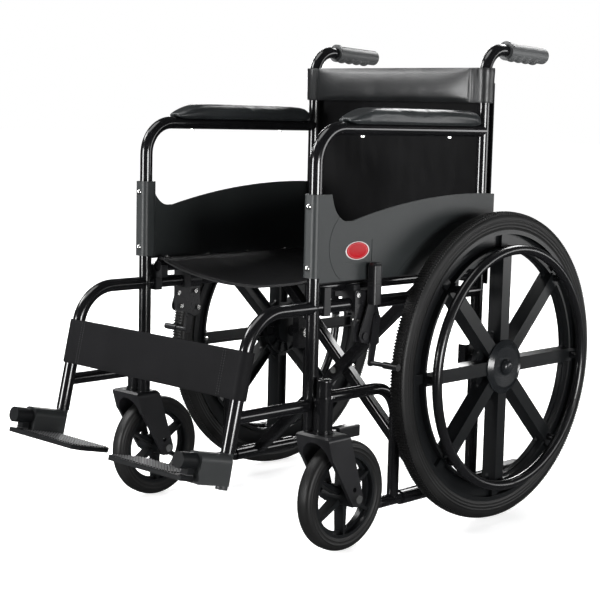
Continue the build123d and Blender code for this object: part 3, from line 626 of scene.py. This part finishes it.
def build_back():
    """The back sling, behind the canes, with bound side edges."""
    half, low, high, behind = 245.0, 453.0, 848.0, 38.2
    over_cane, cane_rear = 205, 36.3
    xs = spaced(-half, half, 141)
    zs = spaced(low, high, 120)
    front, rear = [], []
    for z in zs:
        bow = math.sin(math.pi * (z - low) / (high - low))
        line_f, line_r = [], []
        for x in xs:
            # slack between the canes, with a doubled edge down each side and along the bottom
            inner = max(0.0, 1 - (abs(x) / 215) ** 4)
            fold = 1.3 * ripple(x * 0.5, z, 48, 1.3) + 0.5 * ripple(x, z * 0.5, 20, 5.2)
            y = behind + inner * (bow * 5.0 + fold * min(1.0, (high - z) / 60))
            bind = 0.7 if abs(x) > half - 8 or z < low + 12 else 0.0
            face = y - 1.1 - bind
            line_f.append(mm(x, max(face, cane_rear) if abs(x) > over_cane else face, z))
            line_r.append(mm(x, y + 1.1 + bind, z))
        front.append(line_f)
        rear.append(line_r)
    skin = Skin()
    skin.sheet(front, rear)
    rear_face, way = behind + 2.0, Vector((0, 1, 0))
    for x in (4 - half, half - 4):
        line = [mm(x, rear_face, z) for z in spaced(low + 3, high - 3, 40)]
        skin.stitches(line, way, 1, pitch=3.6, length=2.6, radius=0.5)
    for z in (low + 4.5, low + 8.5):
        skin.stitches([mm(x, rear_face, z) for x in spaced(9 - half, half - 9, 40)], way, 1)
    back = skin.make("back_cloth", [BACK, THREAD])
    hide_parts("back_sling")
    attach(back, "left_side")
    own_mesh(back)


def loop_points(half, near, far, corner, step):
    """A rounded rectangle about the canes as (x, y, outward) in millimetres, evenly spaced."""
    corners = ((half, near, -90), (half, far, 0), (-half, far, 90), (-half, near, 180))
    outline = []
    for x, y, start in corners:
        cx = x - math.copysign(corner, x)
        cy = y + corner if y == near else y - corner
        for k in range(9):
            turn = math.radians(start + 90 * k / 8)
            outline.append((cx + corner * math.cos(turn), cy + corner * math.sin(turn)))
    even = []
    for (ax, ay), (bx, by) in zip(outline, outline[1:] + outline[:1]):
        parts = max(1, round(math.hypot(bx - ax, by - ay) / step))
        even += [(ax + (bx - ax) * k / parts, ay + (by - ay) * k / parts) for k in range(parts)]
    out = []
    for i, (x, y) in enumerate(even):
        px, py = even[i - 1]
        nx, ny = even[(i + 1) % len(even)]
        run = Vector((nx - px, ny - py)).normalized()
        out.append((x, y, Vector((run.y, -run.x, 0))))
    return out


def build_band():
    """Padded loop around both canes at the top of the back, seamed near each end."""
    low, high, near = 809.0, 877.0, 9.0
    outline = loop_points(half=247.0, near=near, far=42.5, corner=15.0, step=2.6)
    outer, inner = [], []
    for z in spaced(low, high, 30):
        u = (z - low) / (high - low)
        edge = min(u, 1 - u)
        roll = math.sqrt(min(1.0, edge / 0.12))
        line_o, line_i = [], []
        for x, y, way in outline:
            at_end = abs(x) > 225
            front = 1.0 if way.y < -0.5 else 0.0
            flat = max(0.0, 1 - (abs(x) / 215) ** 6)
            # the face toward the sitter is padded, and the other one is only a little full
            puff = front * flat * 9.0 * math.sin(math.pi * (0.06 + u * 0.94) ** 0.8) ** 0.8
            puff += (1 - front) * flat * 1.5 * math.sin(math.pi * u)
            wave = 0.5 * ripple(x, z * 0.8, 34, 2.6) * flat
            # a stitched groove beside each cane, and ends that open upwards
            seam = -1.3 * hill(abs(x), 209, 2.4) - 0.5 * hill(abs(x), 215, 1.6)
            pinch = 0.0 if at_end else seam * roll
            flare = 2.2 * max(0.0, u - 0.55) ** 1.5 if at_end else 0.0
            lift = (1.3 + puff + wave) * (0.25 + 0.75 * roll) + pinch + flare * 2
            line_o.append(mm(x, y, z) + way * lift / 1000)
            line_i.append(mm(x, y, z) - way * (1.1 * roll - flare * 1.6) / 1000)
        outer.append(line_o)
        inner.append(line_i)
    skin = Skin()
    skin.sheet(outer, inner, around=True)
    for x in (-212.5, 212.5):
        line = [mm(x, near - 1.7, z) for z in spaced(low + 3, high - 3, 12)]
        skin.stitches(line, Vector((0, -1, 0)), 1)
    band = skin.make("back_band_vinyl", [VINYL, THREAD])
    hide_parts("back_band")
    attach(band, "left_side")
    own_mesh(band)


def build_calf_strap():
    """Strap around both hangers, doubled and stitched at its ends."""
    low, high = 107.5, 190.5
    outline = loop_points(half=246.2, near=-13.8, far=13.8, corner=13.0, step=3.0)
    outer, inner = [], []
    base = mm(0, FOOT_Y, FOOT_Z)
    for s in spaced(low, high, 26):
        u = (s - low) / (high - low)
        edge = min(u, 1 - u)
        roll = 0.35 if edge < 0.02 else 1.0
        line_o, line_i = [], []
        for x, d, way in outline:
            # loose between the hangers, and doubled where it goes round them
            flat = max(0.0, 1 - (abs(x) / 222) ** 6)
            give = flat * (0.9 * ripple(x * 0.45, s, 40, 9.4) + 1.4 * math.sin(math.pi * u))
            seam = 0.5 if abs(x) > 196 else 0.0
            direction = Vector((way.x, 0, 0)) - AHEAD * way.y
            at = base + Vector((x / 1000, 0, 0)) + UP_HANGER * (s / 1000) - AHEAD * (d / 1000)
            line_o.append(at + direction * ((0.75 + seam) * roll + give * 0.5) / 1000)
            line_i.append(at - direction * (0.75 * roll - give * 0.3) / 1000)
        outer.append(line_o)
        inner.append(line_i)
    skin = Skin()
    skin.sheet(outer, inner, around=True)
    for x in (-193.5, -199.5, 193.5, 199.5):
        lift = 14.6 if abs(x) < 196 else 15.1
        skin.stitches([base + Vector((x / 1000, 0, 0)) + UP_HANGER * (s / 1000) + AHEAD * (lift / 1000)
                       for s in spaced(low + 2.5, high - 2.5, 12)], AHEAD, 1)
    strap = skin.make("calf_strap", [STRAP, THREAD])
    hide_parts("calf_panel")
    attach(strap, "left_side")
    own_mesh(strap)


# ---------------------------------------------------------------- small hard details
def build_badges():
    """A plain red oval with a bright rim and one thin inner line on each guard; it carries no lettering."""
    half_length, half_height = 31.0, 16.5
    for side, sign in SIDES:
        center = mm(sign * BADGE_SEAT_X, -349, 538.5)
        skin = Skin()

        def oval(scale, depth):
            ring = []
            for step in range(64):
                turn = 2 * math.pi * step / 64
                ring.append(center + Vector((sign * depth / 1000, half_length * scale * math.cos(turn) / 1000,
                                             half_height * scale * math.sin(turn) / 1000)))
            return ring

        rim = ((1.0, 0.0), (1.0, 1.0), (0.975, 1.5), (0.93, 1.5), (0.91, 1.1))
        field = ((0.915, 0.9), (0.915, 1.25), (0.86, 1.45), (0.6, 1.75), (0.25, 1.95))
        line = ((0.80, 1.50), (0.795, 1.70), (0.775, 1.70), (0.77, 1.50))
        skin.closed([oval(*pair) for pair in rim], 0)
        skin.closed([oval(*pair) for pair in field], 1)
        skin.grid([oval(*pair) for pair in line], 2, around=True, along=True)
        badge = skin.make(f"{side}_badge", [TRIM, ENAMEL, BADGE_LINE])
        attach(badge, f"{side}_side")


RIM_SCREW = (
    # radius and height of a round head with a recess
    (5.5, 0), (5.5, 1.2), (4.6, 2.6), (2.2, 3.0), (2.0, 1.6),
)


def build_wheel_screws():
    """Screws that hold the push rim's posts, seen on the inner face of each spoke."""
    for side, sign in SIDES:
        skin = Skin()
        for index in range(SPOKES):
            turn = 2 * math.pi * index / SPOKES
            at = mm(sign * SPOKE_BACK_X, PUSH_RIM_R * math.cos(turn), WHEEL_Z + PUSH_RIM_R * math.sin(turn))
            skin.turned(RIM_SCREW, at, (-sign, 0, 0), steps=20)
        screws = skin.make(f"{side}_push_rim_screws", [ZINC])
        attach(screws, f"{side}_wheel")


build_tyres()
build_arm_pads()
build_seat()
build_back()
build_band()
build_calf_strap()
build_badges()
build_wheel_screws()


# ---------------------------------------------------------------- studio
def studio_floor():
    """A plain pale floor that stays near white, with soft contact shadows."""
    mesh = bpy.data.meshes.new("studio_floor")
    mesh.from_pydata([(-40, -40, 0), (40, -40, 0), (40, 40, 0), (-40, 40, 0)], [], [(0, 1, 2, 3)])
    floor = bpy.data.objects.new("studio_floor", mesh)
    bpy.context.scene.collection.objects.link(floor)
    look = bpy.data.materials.new("studio_floor")
    look.use_nodes = True
    tree = look.node_tree
    shader = tree.nodes["Principled BSDF"]
    shader.inputs["Base Color"].default_value = (0.9, 0.9, 0.9, 1)
    shader.inputs["Roughness"].default_value = 0.6
    shader.inputs["Emission Color"].default_value = (1, 1, 1, 1)
    shader.inputs["Emission Strength"].default_value = 0.70
    mesh.materials.append(look)
    floor.visible_glossy = False


def soft_light(name, at, toward, size, power):
    """A rectangular soft box; places in metres, power in watts."""
    data = bpy.data.lights.new(name, "AREA")
    data.shape = "RECTANGLE"
    data.size, data.size_y = size
    data.energy = power
    lamp = bpy.data.objects.new(name, data)
    lamp.location = at
    lamp.rotation_mode = "QUATERNION"
    lamp.rotation_quaternion = (Vector(toward) - Vector(at)).to_track_quat("-Z", "Y")
    bpy.context.scene.collection.objects.link(lamp)


def studio_world():
    """White behind the object, and a faint cool fill on it."""
    world = bpy.data.worlds.new("studio")
    world.use_nodes = True
    bpy.context.scene.world = world
    tree = world.node_tree
    tree.nodes.clear()
    seen = add(tree, "ShaderNodeBackground", {"Color": (1, 1, 1, 1), "Strength": 1.0})
    fill = add(tree, "ShaderNodeBackground", {"Color": (0.95, 0.97, 1, 1), "Strength": 0.06})
    mix = add(tree, "ShaderNodeMixShader")
    ray = add(tree, "ShaderNodeLightPath")
    tree.links.new(ray.outputs["Is Camera Ray"], mix.inputs[0])
    tree.links.new(fill.outputs[0], mix.inputs[1])
    tree.links.new(seen.outputs[0], mix.inputs[2])
    out = add(tree, "ShaderNodeOutputWorld")
    tree.links.new(mix.outputs[0], out.inputs[0])


def studio_camera():
    """Camera at the measured viewpoint: 43.4 degrees round to the chair's left, 6.8 degrees up."""
    azimuth, elevation, roll = math.radians(43.41), math.radians(6.84), math.radians(1.49)
    level = math.cos(elevation)
    back = Vector((math.sin(azimuth) * level, -math.cos(azimuth) * level, math.sin(elevation)))
    right = (-back).cross(Vector((0, 0, 1))).normalized()
    up = right.cross(-back)
    side = right * math.cos(roll) + up * math.sin(roll)
    top = up * math.cos(roll) - right * math.sin(roll)
    data = bpy.data.cameras.new("camera")
    data.sensor_width = 36.0
    data.lens = 86.84
    data.shift_x, data.shift_y = -0.0538, -0.0182
    data.clip_start, data.clip_end = 0.05, 200
    camera = bpy.data.objects.new("camera", data)
    turn = Matrix((side, top, back)).transposed().to_4x4()
    camera.matrix_world = Matrix.Translation(mm(1988.4, -2251.7, 777.2)) @ turn
    bpy.context.scene.collection.objects.link(camera)
    bpy.context.scene.camera = camera


def overhead_light():
    """A wide, soft sun from almost straight above."""
    data = bpy.data.lights.new("overhead", "SUN")
    data.energy = 1.3
    data.angle = math.radians(40)
    lamp = bpy.data.objects.new("overhead", data)
    lamp.rotation_euler = (math.radians(14), math.radians(-16), 0)
    bpy.context.scene.collection.objects.link(lamp)


studio_floor()
studio_world()
studio_camera()
overhead_light()
soft_light("side", (3.4, -0.7, 0.5), (0, 0, 0.5), (1.3, 0.9), 95)
soft_light("strip_front", (-1.1, -3.7, 0.75), (0, 0, 0.6), (1.1, 1.4), 134)
soft_light("guard_wash", (3.0, 2.9, 0.55), (0, 0, 0.5), (2.2, 1.0), 36)
soft_light("high_left", (-2.3, -1.7, 2.6), (0, 0, 0.8), (1.6, 1.0), 70)
soft_light("pad_sheen", (-2.7, 2.9, 1.1), (0, 0, 0.7), (1.6, 0.8), 50)
soft_light("rear_high", (-0.4, 2.9, 2.9), (0, 0, 0.6), (1.6, 1.0), 65)
bpy.context.scene.view_settings.view_transform = "Standard"
